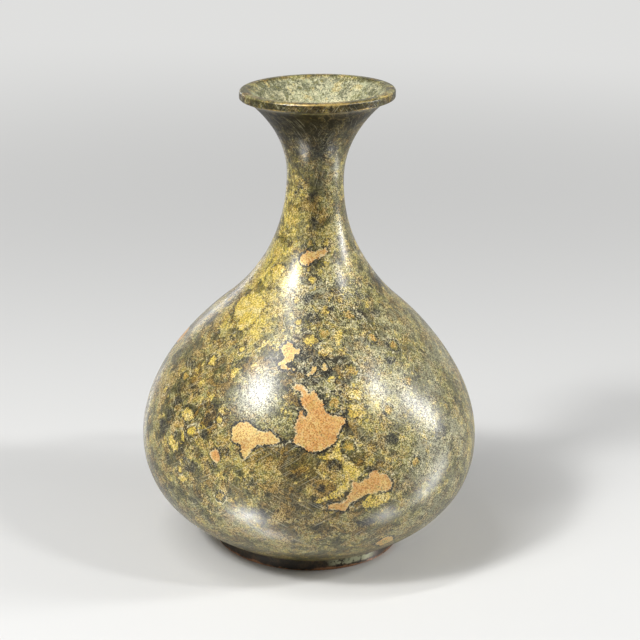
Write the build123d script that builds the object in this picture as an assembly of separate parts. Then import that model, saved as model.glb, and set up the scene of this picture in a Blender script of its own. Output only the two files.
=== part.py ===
# Pear-shaped bronze bottle vase: full belly, slender neck, trumpet mouth with a thick lip, low foot ring.
# Millimetres, +Z up. The origin is the centre of the circle that the vase rests on.
# Every piece is round about Z, so each one is a section in the XZ plane turned about that axis.

import math
import os
from dataclasses import dataclass

from build123d import *

# Driving sizes of the vase
HEIGHT = 150.0
MOUTH_DIAMETER = 48.4
THROAT_DIAMETER = 17.9
BELLY_DIAMETER = 108.8
FOOT_DIAMETER = 60.8
WALL = 2.5

# Where the outside of the shell is widest, where it turns from bulging to hollow, and where it is narrowest
BELLY_HEIGHT = 36.2
SHOULDER_HEIGHT = 80.7
SHOULDER_DIAMETER = 57.2
THROAT_HEIGHT = 122.2

# Lip: a thick band round the mouth, with a bevel under it
LIP_HEIGHT = 2.6
LIP_REACH = 3.4
LIP_BEVEL_HEIGHT = 1.4
LIP_TOP_ROUND = 0.9
LIP_INNER_ROUND = 0.6
LIP_UNDER_ROUND = 0.35

# Seat of the shell on the foot ring
FOOT_HEIGHT = 3.9
SEAT_OVERHANG = 0.8
SEAT_EDGE_ROUND = 0.3

# Foot ring: resting band, spigot that enters the shell, rebate for the base plate
RESTING_BAND = 3.4
FOOT_EDGE_ROUND = 0.6
FOOT_INNER_ROUND = 0.4
SPIGOT_SHOULDER = 2.2
SPIGOT_WALL = 2.6
SPIGOT_PROUD = 1.1
SPIGOT_CHAMFER = 0.3

# Base plate and the joints that hold the foot together
PLATE_THICKNESS = 2.0
PLATE_RECESS = 1.2
PLATE_EDGE_BREAK = 0.2
BRAZE_LEG = 0.9
SOLDER_LEG = 0.8

# Fits: what brazing and soldering need between the parts
BRAZE_GAP = 0.1
SOLDER_GAP = 0.1

# Headings of the outside of the shell, in degrees: 0 is straight outwards, 90 straight up
SEAT_HEADING = 30.0
SHOULDER_HEADING = 140.5
FLANK_HEADING = 41.0
UPRIGHT = 90.0
FULL_TURN = 360.0

# How far each run of the outside pulls along its end headings, as shares of the run's chord
LOWER_BELLY_PULL_SHARES = (0.337, 0.435)
UPPER_BELLY_PULL_SHARES = (0.379, 0.235)
NECK_PULL_SHARES = (0.289, 0.429)
MOUTH_PULL_SHARES = (0.373, 0.341)

# Where along each run the inner wall is set in from the outer one, as shares of the run's length
WALL_STATION_SHARES = (0.0, 0.25, 0.5, 0.75)

# A bead's face bows in by an arc of this share of its leg
BEAD_ARC_SHARE = 1.6

# Radii and heights that follow from the sizes above
foot_radius = FOOT_DIAMETER / 2
rebate_radius = foot_radius - RESTING_BAND
spigot_radius = foot_radius - SPIGOT_SHOULDER
spigot_bore_radius = spigot_radius - SPIGOT_WALL
shell_bore_radius = spigot_radius + BRAZE_GAP
seat_radius = foot_radius + SEAT_OVERHANG
plate_radius = rebate_radius - SOLDER_GAP
plate_top = PLATE_RECESS + PLATE_THICKNESS
mouth_radius = MOUTH_DIAMETER / 2
lip_bottom = HEIGHT - LIP_HEIGHT


@dataclass
class Station:
    """A point of the outside, and the heading of the profile as it passes through it."""

    radius: float
    height: float
    heading: float

    def point(self):
        return Vector(self.radius, 0, self.height)

    def direction(self):
        angle = math.radians(self.heading)
        return Vector(math.cos(angle), 0, math.sin(angle))


seat = Station(seat_radius, FOOT_HEIGHT, SEAT_HEADING)
belly = Station(BELLY_DIAMETER / 2, BELLY_HEIGHT, UPRIGHT)
shoulder = Station(SHOULDER_DIAMETER / 2, SHOULDER_HEIGHT, SHOULDER_HEADING)
throat = Station(THROAT_DIAMETER / 2, THROAT_HEIGHT, UPRIGHT)
flank = Station(mouth_radius - LIP_REACH, lip_bottom - LIP_BEVEL_HEIGHT, FLANK_HEADING)


def outer_run(start, end, pull_shares):
    """One smooth run of the outside, from a station to the next above it."""
    chord = (end.point() - start.point()).length
    start_pull, end_pull = pull_shares
    return Bezier(
        start.point(),
        start.point() + start.direction() * (chord * start_pull),
        end.point() - end.direction() * (chord * end_pull),
        end.point(),
    )


def outer_runs():
    """The outside of the shell, from its seat on the foot ring up to the bevel under the lip."""
    return [
        outer_run(seat, belly, LOWER_BELLY_PULL_SHARES),
        outer_run(belly, shoulder, UPPER_BELLY_PULL_SHARES),
        outer_run(shoulder, throat, NECK_PULL_SHARES),
        outer_run(throat, flank, MOUTH_PULL_SHARES),
    ]


def set_in(run, share):
    """The point one wall in from the outside, square to it, at a share of a run's length."""
    inwards = run.tangent_at(share).cross(Vector(0, 1, 0))
    return run.position_at(share) + inwards * WALL


def inner_wall(runs):
    """The inside of the shell: a smooth curve one wall in from the outside, from floor to mouth."""
    points = [set_in(run, share) for run in runs for share in WALL_STATION_SHARES]
    points.append(set_in(runs[-1], 1))
    return Spline(points, tangents=[seat.direction(), flank.direction()])


def section_point(radius, height):
    return Vector(radius, 0, height)


def turned(outline):
    """The solid that a closed section makes when it is turned about Z."""
    return revolve(outline, axis=Axis.Z, revolution_arc=FULL_TURN)


def corner(section, radius, height):
    """The corner of a section that lies at a radius and a height."""
    return section.vertices().sort_by_distance(section_point(radius, height))[0]


def polygon_section(points):
    return make_face(Polyline(*points, close=True))


def shell_floor_height():
    """The height of the flat floor round the opening in the shell's bottom."""
    return set_in(outer_runs()[0], 0).Z


def vessel_shell():
    """Belly, neck, mouth and lip: one hollow casting, open at the bottom for the foot's spigot."""
    runs = outer_runs()
    inside = inner_wall(runs)
    floor_edge = inside.position_at(0)
    mouth_edge = inside.position_at(1)
    ridge_radius = mouth_edge.X + (HEIGHT - mouth_edge.Z) / math.tan(math.radians(FLANK_HEADING))
    lip_line = Polyline(
        flank.point(),
        section_point(mouth_radius, lip_bottom),
        section_point(mouth_radius, HEIGHT),
        section_point(ridge_radius, HEIGHT),
        mouth_edge,
    )
    bottom_line = Polyline(
        floor_edge,
        section_point(shell_bore_radius, floor_edge.Z),
        section_point(shell_bore_radius, FOOT_HEIGHT),
        seat.point(),
    )
    section = make_face([*runs, *lip_line.edges(), inside, *bottom_line.edges()])
    section = fillet(corner(section, mouth_radius, HEIGHT), LIP_TOP_ROUND)
    section = fillet(corner(section, ridge_radius, HEIGHT), LIP_INNER_ROUND)
    section = fillet(corner(section, mouth_radius, lip_bottom), LIP_UNDER_ROUND)
    section = fillet(corner(section, seat_radius, FOOT_HEIGHT), SEAT_EDGE_ROUND)
    return turned(section)


def foot_ring():
    """The ring the vase stands on: its spigot enters the shell, its shoulder carries the shell."""
    spigot_top = shell_floor_height() + SPIGOT_PROUD
    section = polygon_section([
        section_point(rebate_radius, 0),
        section_point(foot_radius, 0),
        section_point(foot_radius, FOOT_HEIGHT),
        section_point(spigot_radius, FOOT_HEIGHT),
        section_point(spigot_radius, spigot_top),
        section_point(spigot_bore_radius, spigot_top),
        section_point(spigot_bore_radius, plate_top),
        section_point(rebate_radius, plate_top),
    ])
    section = fillet(corner(section, foot_radius, 0), FOOT_EDGE_ROUND)
    section = fillet(corner(section, rebate_radius, 0), FOOT_INNER_ROUND)
    section = chamfer(corner(section, spigot_bore_radius, spigot_top), SPIGOT_CHAMFER)
    return turned(section)


def base_plate():
    """The round plate that closes the bottom, up against the ledge inside the foot ring."""
    section = polygon_section([
        section_point(0, PLATE_RECESS),
        section_point(plate_radius, PLATE_RECESS),
        section_point(plate_radius, plate_top - PLATE_EDGE_BREAK),
        section_point(plate_radius - PLATE_EDGE_BREAK, plate_top),
        section_point(0, plate_top),
    ])
    return turned(section)


def bead(corner_point, along, up, leg):
    """A bead of filler metal in a corner: two legs and a face that bows in."""
    foot_end = corner_point + along * leg
    top_end = corner_point + up * leg
    chord_middle = (foot_end + top_end) / 2
    half_chord = (foot_end - top_end).length / 2
    arc_radius = leg * BEAD_ARC_SHARE
    bow = arc_radius - math.sqrt(arc_radius**2 - half_chord**2)
    to_corner = (corner_point - chord_middle).normalized()
    face_line = ThreePointArc(foot_end, chord_middle + to_corner * bow, top_end)
    legs = Polyline(top_end, corner_point, foot_end)
    return turned(make_face([face_line, *legs.edges()]))


def foot_braze():
    """The fillet of braze round the spigot, on the shell's floor."""
    corner_point = section_point(spigot_radius, shell_floor_height())
    return bead(corner_point, Vector(1, 0, 0), Vector(0, 0, 1), BRAZE_LEG)


def base_solder():
    """The bead of solder under the base plate, against the inside of the foot ring."""
    corner_point = section_point(rebate_radius, PLATE_RECESS)
    return bead(corner_point, Vector(-1, 0, 0), Vector(0, 0, -1), SOLDER_LEG)


PIECES = {
    "vessel_shell": vessel_shell,
    "foot_ring": foot_ring,
    "base_plate": base_plate,
    "foot_braze": foot_braze,
    "base_solder": base_solder,
}

os.makedirs("parts", exist_ok=True)
for name, make in PIECES.items():
    piece = make()
    export_step(piece, f"parts/{name}.step")
    print(name, "volume", round(piece.volume, 1), "mm3, box", piece.bounding_box())
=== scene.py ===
# %% [markdown]
# # A patinated bronze bottle vase
#
# The vase is a turned shape with a pear-shaped belly, a slender neck, a trumpet mouth and a low foot ring.
# The imported CAD model is the fixed frame, in metres, with +Z up the vase and -Y towards the camera.

import math

import bpy
import numpy as np
from mathutils import Matrix, Vector


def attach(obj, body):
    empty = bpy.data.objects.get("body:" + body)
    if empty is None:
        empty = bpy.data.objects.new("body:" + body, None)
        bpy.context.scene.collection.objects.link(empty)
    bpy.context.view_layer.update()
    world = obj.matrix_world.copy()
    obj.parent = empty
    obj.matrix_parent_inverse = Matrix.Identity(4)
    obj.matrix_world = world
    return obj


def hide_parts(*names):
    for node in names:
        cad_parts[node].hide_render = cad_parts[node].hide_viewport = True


MM = 0.001


def placed(name, data):
    """A new object in the scene."""
    made = bpy.data.objects.new(name, data)
    bpy.context.scene.collection.objects.link(made)
    return made


def new_finish(name):
    """A material whose look is a node tree."""
    material = bpy.data.materials.new(name)
    material.use_nodes = True
    return material


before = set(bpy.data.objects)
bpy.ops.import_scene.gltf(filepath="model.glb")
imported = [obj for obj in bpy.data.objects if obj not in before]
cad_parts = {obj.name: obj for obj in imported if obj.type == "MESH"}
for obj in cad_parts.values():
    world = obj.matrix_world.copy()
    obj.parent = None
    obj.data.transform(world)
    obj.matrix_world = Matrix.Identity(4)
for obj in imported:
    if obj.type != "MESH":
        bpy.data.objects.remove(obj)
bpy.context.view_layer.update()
print("The frame has", len(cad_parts), "pieces:", ", ".join(sorted(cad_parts)))

# %% [markdown]
# ## The camera
#
# The picture was taken from a little above the mouth, at arm's length, with a long lens. The numbers
# below come from matching the outline, the mouth and the foot. The last turn tips the picture by a
# degree and a half, because the vase leans that much in it.

# %% The camera
EYE = Vector((0.00263, -0.5382, 0.2581))
LOOK_DOWN_DEGREES = 18.836
TIP_DEGREES = 1.495
LENS_MM = 99.25
SENSOR_MM = 36.0

camera_data = bpy.data.cameras.new("camera")
camera_data.lens = LENS_MM
camera_data.sensor_width = SENSOR_MM
camera = placed("camera", camera_data)
aim = Matrix.Rotation(math.radians(90.0 - LOOK_DOWN_DEGREES), 4, "X")
tip = Matrix.Rotation(math.radians(TIP_DEGREES), 4, "Z")
camera.matrix_world = Matrix.Translation(EYE) @ aim @ tip
bpy.context.scene.camera = camera
print("The camera stands", round(EYE.length, 3), "m from the middle of the foot")

# %% [markdown]
# ## Sums between sockets
#
# A finish is a long sum of noises and masks. Wiring each Math node by hand would bury that sum, so a
# small class wraps a socket and lets Python's own signs add the nodes. Every other node comes from one
# method, which sets its settings first and then its sockets.

# %% A socket that can be added and multiplied
def sign(operation, reflected=False):
    """A method for one of Python's signs. In its reflected form the wire stands to the right of the sign."""

    def method(wire, other):
        pair = (other, wire) if reflected else (wire, other)
        return wire.sum_of(operation, *pair)

    return method


class Wire:
    """An output socket that works in ordinary sums."""

    __add__, __radd__ = sign("ADD"), sign("ADD", reflected=True)
    __sub__, __rsub__ = sign("SUBTRACT"), sign("SUBTRACT", reflected=True)
    __mul__, __rmul__ = sign("MULTIPLY"), sign("MULTIPLY", reflected=True)
    __truediv__, __rtruediv__ = sign("DIVIDE"), sign("DIVIDE", reflected=True)
    power, least, most = sign("POWER"), sign("MINIMUM"), sign("MAXIMUM")

    def __init__(self, bench, socket):
        self.bench = bench
        self.socket = socket

    def sum_of(self, operation, *values):
        return self.bench.add("ShaderNodeMath", "Value", {"operation": operation}, dict(enumerate(values)))

    def size(self):
        return self.sum_of("ABSOLUTE", self)

    def fade(self, low, high):
        """0 where the value is at low, 1 where it is at high, smooth between them."""
        settings = {"interpolation_type": "SMOOTHSTEP", "clamp": True}
        sockets = {"Value": self, "From Min": low, "From Max": high}
        return self.bench.add("ShaderNodeMapRange", "Result", settings, sockets)


class Bench:
    """A node tree, with one way to add a node to it."""

    def __init__(self, tree):
        self.tree = tree

    def add(self, kind, outputs, settings=None, sockets=None):
        node = self.tree.nodes.new(kind)
        for name, value in (settings or {}).items():
            setattr(node, name, value)
        for name, value in (sockets or {}).items():
            self.feed(self.find(node.inputs, name), value)
        if isinstance(outputs, str):
            return Wire(self, self.find(node.outputs, outputs))
        return [Wire(self, self.find(node.outputs, name)) for name in outputs]

    def find(self, sockets, name):
        if isinstance(name, int):
            return sockets[name]
        for socket in sockets:
            if socket.identifier == name:
                return socket
        return sockets[name]

    def feed(self, socket, value):
        if isinstance(value, Wire):
            self.tree.links.new(value.socket, socket)
        else:
            socket.default_value = value

    def mixed(self, share, under, over):
        """Two surfaces as one: share is how much of the second shows."""
        return self.add("ShaderNodeMixShader", "Shader", None, {0: share, 1: under, 2: over})


print("Sums between sockets are ready")

# %% [markdown]
# ## The lathe
#
# The shell was cast and then turned, so its shape is a rule: one section, turned about the vase's axis.
# The section is built from the same named stations as the CAD model, and the wall is the same curve
# moved in by its thickness. A Geometry Nodes tree turns the section. A sphere pulled into shape by hand
# would never keep the wall and the long hollow curve of the neck.

# %% Sizes of the section, in millimetres
HEIGHT = 150.0
MOUTH_RADIUS = 24.2
WALL = 2.5
FOOT_HEIGHT = 3.9
SHELL_BORE_RADIUS = 28.3
SEAT = (31.2, 3.9, 30.0)
BELLY = (54.4, 36.2, 90.0)
SHOULDER = (28.6, 80.7, 140.5)
THROAT = (8.95, 122.2, 90.0)
FLANK = (20.8, 146.0, 41.0)
LIP_BOTTOM = 147.4
LIP_TOP_ROUND = 0.9
LIP_INNER_ROUND = 0.6
LIP_UNDER_ROUND = 0.35
SEAT_EDGE_ROUND = 0.3

# Each run of the outside: its two stations, how far it pulls along their headings, and its number of steps
RUNS = (
    (SEAT, BELLY, (0.337, 0.435), 50),
    (BELLY, SHOULDER, (0.379, 0.235), 84),
    (SHOULDER, THROAT, (0.289, 0.429), 32),
    (THROAT, FLANK, (0.373, 0.341), 16),
)


def heading_of(station):
    angle = math.radians(station[2])
    return np.array([math.cos(angle), math.sin(angle)])


def run_points(start, end, pulls, steps):
    """Points and headings along one smooth run, the last point left out."""
    first = np.array(start[:2])
    last = np.array(end[:2])
    chord = np.linalg.norm(last - first)
    out = first + heading_of(start) * chord * pulls[0]
    back = last - heading_of(end) * chord * pulls[1]
    share = (np.arange(steps) / steps)[:, None]
    rest = 1.0 - share
    points = rest**3 * first + 3 * rest**2 * share * out + 3 * rest * share**2 * back + share**3 * last
    headings = rest**2 * (out - first) + 2 * rest * share * (back - out) + share**2 * (last - back)
    return points, headings / np.linalg.norm(headings, axis=1)[:, None]


def rounded(before, corner, after, radius, steps):
    """The points of an arc that eases a corner."""
    towards_before = (before - corner) / np.linalg.norm(before - corner)
    towards_after = (after - corner) / np.linalg.norm(after - corner)
    opening = math.acos(float(np.clip(towards_before @ towards_after, -1.0, 1.0)))
    reach = radius / math.tan(opening / 2)
    middle = towards_before + towards_after
    centre = corner + middle / np.linalg.norm(middle) * radius / math.sin(opening / 2)
    first = corner + towards_before * reach - centre
    last = corner + towards_after * reach - centre
    spread = math.pi - opening
    shares = np.linspace(0.0, 1.0, steps)
    weights = [(math.sin((1 - t) * spread), math.sin(t * spread)) for t in shares]
    return [centre + (a * first + b * last) / math.sin(spread) for a, b in weights]


def between(start, end, shares):
    """Points on the straight line from start to end."""
    return [start + (end - start) * share for share in shares]


print("The outside has", len(RUNS), "runs, and is widest at", BELLY[1], "mm")

# %% The closed section, from the seat up the outside, over the lip and down the wall
outside = []
outside_headings = []
for start, end, pulls, steps in RUNS:
    points, headings = run_points(start, end, pulls, steps)
    outside.append(points)
    outside_headings.append(headings)
outside = np.vstack(outside + [np.array([FLANK[:2]])])
outside_headings = np.vstack(outside_headings + [heading_of(FLANK)[None]])
inside = outside + np.stack([-outside_headings[:, 1], outside_headings[:, 0]], axis=1) * WALL
mouth_edge = inside[-1]
ridge = np.array([mouth_edge[0] + (HEIGHT - mouth_edge[1]) / math.tan(math.radians(FLANK[2])), HEIGHT])
lip_low = np.array([MOUTH_RADIUS, LIP_BOTTOM])
lip_high = np.array([MOUTH_RADIUS, HEIGHT])
floor_edge = inside[0]
seat_edge = outside[0]
bore_high = np.array([SHELL_BORE_RADIUS, floor_edge[1]])
bore_low = np.array([SHELL_BORE_RADIUS, FOOT_HEIGHT])

MOUTH_ROWS = 16

lip = between(outside[-1], lip_low, (0.3, 0.6))
lip += rounded(outside[-1], lip_low, lip_high, LIP_UNDER_ROUND, 4)
lip += between(lip_low, lip_high, (0.35, 0.5))
lip += rounded(lip_low, lip_high, ridge, LIP_TOP_ROUND, 6)
lip += rounded(lip_high, ridge, mouth_edge, LIP_INNER_ROUND, 5)
lip += between(ridge, mouth_edge, (0.55, 0.8))
# The wall needs fewer rows inside: every second one in the mouth, every eighth where it is dark.
from_mouth_down = inside[::-1]
wall_rows = np.vstack([from_mouth_down[:MOUTH_ROWS:2], from_mouth_down[MOUTH_ROWS::8]])
bottom = [bore_high, bore_low, *between(bore_low, seat_edge, (0.5,))]
bottom += rounded(bore_low, seat_edge, outside[1], SEAT_EDGE_ROUND, 3)
section = np.vstack([outside[1:], np.array(lip), wall_rows, floor_edge[None], np.array(bottom)])
outside_count = len(outside) - 1
lip_count = len(lip)
print("The section has", len(section), "points,", outside_count, "of them on the outside")

# %% [markdown]
# ## Turning the section
#
# The tree takes the section as a curve and sweeps it round a circle. It then puts each point at its own
# radius and turn, which is all that a lathe does. Hand finishing is in the tree too: a slow waviness, a
# mouth that sits a little off level, and a right shoulder that is a shade fuller than the left.

# %% The tree that turns it
STEPS_ROUND = 396
FULLEST_SHOULDER = 86.0
SHOULDER_SPREAD = 14.0
TILT_FROM = 112.0
CALM_BELOW = (5.0, 14.0)
CALM_ABOVE = (142.0, 147.0)


def lathe_tree():
    tree = bpy.data.node_groups.new("lathe", "GeometryNodeTree")
    ports = {}
    tree.interface.new_socket("Geometry", in_out="INPUT", socket_type="NodeSocketGeometry")
    wanted = (
        ("Steps round", "NodeSocketInt", STEPS_ROUND),
        ("Closer at the front", "NodeSocketFloat", 0.4),
        ("Waviness", "NodeSocketFloat", 0.11 * MM),
        ("Wave length", "NodeSocketFloat", 17.0 * MM),
        ("Mouth tilt", "NodeSocketFloat", 0.033),
        ("Fuller shoulder", "NodeSocketFloat", 0.7 * MM),
        ("Seed", "NodeSocketFloat", 3.0),
        ("Finish", "NodeSocketMaterial", None),
    )
    for name, kind, value in wanted:
        socket = tree.interface.new_socket(name, in_out="INPUT", socket_type=kind)
        ports[name] = (socket.identifier, value)
    tree.interface.new_socket("Geometry", in_out="OUTPUT", socket_type="NodeSocketGeometry")
    bench = Bench(tree)
    given = tree.nodes.new("NodeGroupInput")

    def port(name):
        return Wire(bench, given.outputs[name])

    def keep(geometry, name, value):
        settings = {"data_type": "FLOAT", "domain": "POINT"}
        sockets = {"Geometry": geometry, "Name": name, "Value": value}
        return bench.add("GeometryNodeStoreNamedAttribute", "Geometry", settings, sockets)

    def kept(name):
        settings = {"data_type": "FLOAT"}
        return bench.add("GeometryNodeInputNamedAttribute", "Attribute", settings, {"Name": name})

    def changed(geometry, kind, **sockets):
        return bench.add(kind, "Geometry", None, {"Geometry": geometry, **sockets})

    place = bench.add("GeometryNodeInputPosition", "Position")
    radius, height = bench.add("ShaderNodeSeparateXYZ", ("X", "Z"), None, {0: place})
    step = bench.add("GeometryNodeInputIndex", "Index")
    profile = keep(port("Geometry"), "section_radius", radius)
    profile = keep(profile, "section_height", height)
    profile = keep(profile, "section_step", step)
    circle_sockets = {"Resolution": port("Steps round"), "Radius": 1.0}
    circle = bench.add("GeometryNodeCurvePrimitiveCircle", "Curve", None, circle_sockets)
    around = bench.add("GeometryNodeSplineParameter", "Factor")
    even_turn = around * math.tau - math.pi
    pull_forward = even_turn.sum_of("SINE", even_turn) * port("Closer at the front")
    circle = keep(circle, "turn", even_turn - pull_forward)
    turned = bench.add("GeometryNodeCurveToMesh", "Mesh", None, {"Curve": circle, "Profile Curve": profile})

    turn = kept("turn")
    height = kept("section_height")
    right = turn.sum_of("SINE", turn)
    near = turn.sum_of("COSINE", turn)
    shoulder = (height / (SHOULDER_SPREAD * MM) - FULLEST_SHOULDER / SHOULDER_SPREAD).power(2.0)
    bulge = 1.0 / (1.0 + shoulder * shoulder)
    radius = kept("section_radius") + bulge * right.most(0.0) * port("Fuller shoulder")
    lift = height.fade(TILT_FROM * MM, HEIGHT * MM) * right * radius * port("Mouth tilt")
    spot_sockets = {"X": right * radius, "Y": near * radius * -1.0, "Z": height + lift}
    spot = bench.add("ShaderNodeCombineXYZ", "Vector", None, spot_sockets)
    turned = changed(turned, "GeometryNodeSetPosition", Position=spot)

    noise_sockets = {"Vector": place, "W": port("Seed"), "Scale": 1.0 / port("Wave length"), "Detail": 1.0}
    wave = bench.add("ShaderNodeTexNoise", "Fac", {"noise_dimensions": "4D"}, noise_sockets)
    rising, falling = (height.fade(low * MM, high * MM) for low, high in (CALM_BELOW, CALM_ABOVE))
    normal = bench.add("GeometryNodeInputNormal", "Normal")
    push = (wave - 0.5) * 2.0 * port("Waviness") * rising * (1.0 - falling)
    offset = bench.add("ShaderNodeVectorMath", "Vector", {"operation": "SCALE"}, {0: normal, "Scale": push})
    turned = changed(turned, "GeometryNodeSetPosition", Offset=offset)
    turned = changed(turned, "GeometryNodeSetShadeSmooth")
    turned = changed(turned, "GeometryNodeRealizeInstances")
    turned = changed(turned, "GeometryNodeSetMaterial", Material=port("Finish"))
    result = tree.nodes.new("NodeGroupOutput")
    tree.links.new(turned.socket, result.inputs[0])
    return tree, ports


tree, ports = lathe_tree()
print("The lathe has", len(tree.nodes), "nodes and", len(ports), "inputs:", ", ".join(ports))

# %% Turn the section into the shell
shell_finish = new_finish("patinated_bronze")

curve = bpy.data.curves.new("section", "CURVE")
curve.dimensions = "3D"
spline = curve.splines.new("POLY")
spline.points.add(len(section) - 1)
for point, (radius, height) in zip(spline.points, section):
    point.co = (radius * MM, 0.0, height * MM, 1.0)
spline.use_cyclic_u = True
blank = placed("section", curve)
modifier = blank.modifiers.new("lathe", "NODES")
modifier.node_group = tree
for name, (identifier, value) in ports.items():
    modifier[identifier] = shell_finish if name == "Finish" else value
blank.update_tag()
evaluated = blank.evaluated_get(bpy.context.evaluated_depsgraph_get())
shell_mesh = bpy.data.meshes.new_from_object(evaluated)
bpy.data.objects.remove(blank)
shell = placed("shell", shell_mesh)
print("The shell has", len(shell_mesh.vertices), "points and", len(shell_mesh.polygons), "faces")


def inside_volume(mesh):
    """The volume that a closed mesh holds. It is negative where the faces point inwards."""
    mesh.calc_loop_triangles()
    corners = np.zeros(len(mesh.loop_triangles) * 3, dtype=np.int32)
    mesh.loop_triangles.foreach_get("vertices", corners)
    places = np.zeros(len(mesh.vertices) * 3)
    mesh.vertices.foreach_get("co", places)
    a, b, c = places.reshape(-1, 3)[corners.reshape(-1, 3)].transpose(1, 0, 2)
    return float(np.einsum("ij,ij->i", a, np.cross(b, c)).sum() / 6)


if inside_volume(shell_mesh) < 0:
    shell_mesh.flip_normals()
print("The shell holds", round(inside_volume(shell_mesh) * 1e6, 2), "cubic centimetres of bronze")

# %% [markdown]
# ## A map of the patina
#
# Chemical patina grows in patches: the bronze shows copper-pink where a flake of the brown skin has gone,
# yellow where the skin is thin, and slate where it is thick. Such patches have a place, which noise alone
# would never give. So each patch is drawn as an outline of turns and heights on the vase, and every point of
# the mesh is told how far it lies from the nearest outline. The shader then cuts that distance with
# fine noise, so an edge is as crisp as the picture, however coarse the mesh is.

# %% Where each point of the shell lies
def read_numbers(mesh, name):
    values = np.zeros(len(mesh.vertices), dtype=np.float32)
    mesh.attributes[name].data.foreach_get("value", values)
    return values.astype(float)


def write_numbers(mesh, name, values):
    attribute = mesh.attributes.new(name, "FLOAT", "POINT")
    attribute.data.foreach_set("value", np.asarray(values, dtype=np.float32))


steps_along = np.rint(read_numbers(shell_mesh, "section_step")).astype(int)
turn_degrees = np.degrees(read_numbers(shell_mesh, "turn"))
section_arc = np.concatenate([[0.0], np.cumsum(np.linalg.norm(np.diff(section, axis=0), axis=1))])
arc_mm = section_arc[steps_along]
radius_mm = section[steps_along, 0]
height_mm = section[steps_along, 1]
on_outside = steps_along < outside_count
FAR = 12.0


def apart(turns, middle):
    """How far turns lie from another, the shorter way round, in degrees."""
    return (np.asarray(turns) - middle + 180.0) % 360.0 - 180.0


def falloff(distance, reach):
    """1 at no distance, about a third at the reach, and almost nothing at twice that."""
    return np.exp(-((distance / reach) ** 2))


def arc_at(heights):
    return np.interp(heights, section[:outside_count, 1], section_arc[:outside_count])


def radius_at(heights):
    return np.interp(heights, section[:outside_count, 1], section[:outside_count, 0])


def laid_flat(turn, height, middle_turn):
    """Turns and heights as millimetres across and up, on the skin unrolled about one turn."""
    return np.radians(apart(turn, middle_turn)) * radius_at(height), arc_at(height)


def skin_about(middle_turn, middle_height, reach):
    """Which points of the skin lie near a place, and where, in millimetres across and up."""
    across = np.radians(apart(turn_degrees, middle_turn)) * radius_mm
    up = arc_mm - arc_at(middle_height)
    near = np.flatnonzero(on_outside & (np.abs(across) < reach) & (np.abs(up) < reach))
    return near, across[near], arc_mm[near]


def edge_distance(corners, across, up, closed):
    """How far points lie from an outline, and which of them are inside it."""
    following = np.roll(corners, -1, axis=0)
    pairs = list(zip(corners, following))
    if not closed:
        pairs = pairs[:-1]
    best = np.full(len(across), FAR)
    within = np.zeros(len(across), dtype=bool)
    for (x0, y0), (x1, y1) in pairs:
        dx, dy = x1 - x0, y1 - y0
        share = np.clip(((across - x0) * dx + (up - y0) * dy) / (dx * dx + dy * dy), 0.0, 1.0)
        best = np.minimum(best, np.hypot(across - x0 - share * dx, up - y0 - share * dy))
        if closed and dy:
            crosses = (y0 > up) != (y1 > up)
            within ^= crosses & (across < x0 + (up - y0) * dx / dy)
    return np.where(within, -best, best)


class PatinaMap:
    """Numbers kept for every point of the shell, one set for each kind of patch."""

    def __init__(self, kinds):
        self.layers = {kind: np.full(len(turn_degrees), FAR) for kind in kinds}
        self.tones = {kind: np.zeros(len(turn_degrees)) for kind in kinds}

    def lower(self, kind, near, values, tone):
        layer = self.layers[kind]
        nearer = values < layer[near]
        layer[near[nearer]] = values[nearer]
        self.tones[kind][near[nearer]] = tone

    def patch(self, kind, outline, tone=0.0, closed=True):
        outline = np.array(outline, dtype=float)
        middle = outline.mean(axis=0)
        x, y = laid_flat(outline[:, 0], outline[:, 1], middle[0])
        reach = max(np.ptp(x), np.ptp(y)) / 2 + FAR
        near, across, up = skin_about(middle[0], middle[1], reach)
        self.lower(kind, near, edge_distance(np.stack([x, y], axis=1), across, up, closed), tone)

    def eye(self, kind, turn, height, radius, tone=0.0, stretch=1.0):
        """A round spot: its number is 1 on its rim, whatever its size."""
        near, across, up = skin_about(turn, height, radius * 4.0)
        across = across / stretch
        self.lower(kind, near, np.hypot(across, up - arc_at(height)) / radius, tone)


def soft_area(share, turn, height, half_width, half_height):
    """A share that is full in the middle of an area and fades to 0 around it."""
    across = np.radians(apart(turn_degrees, turn)) * radius_mm
    up = arc_mm - arc_at(height)
    return share * on_outside * falloff(across, half_width) * falloff(up, half_height)


print("The skin is", round(float(section_arc[outside_count]), 1), "mm long from the seat to the lip")
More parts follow.
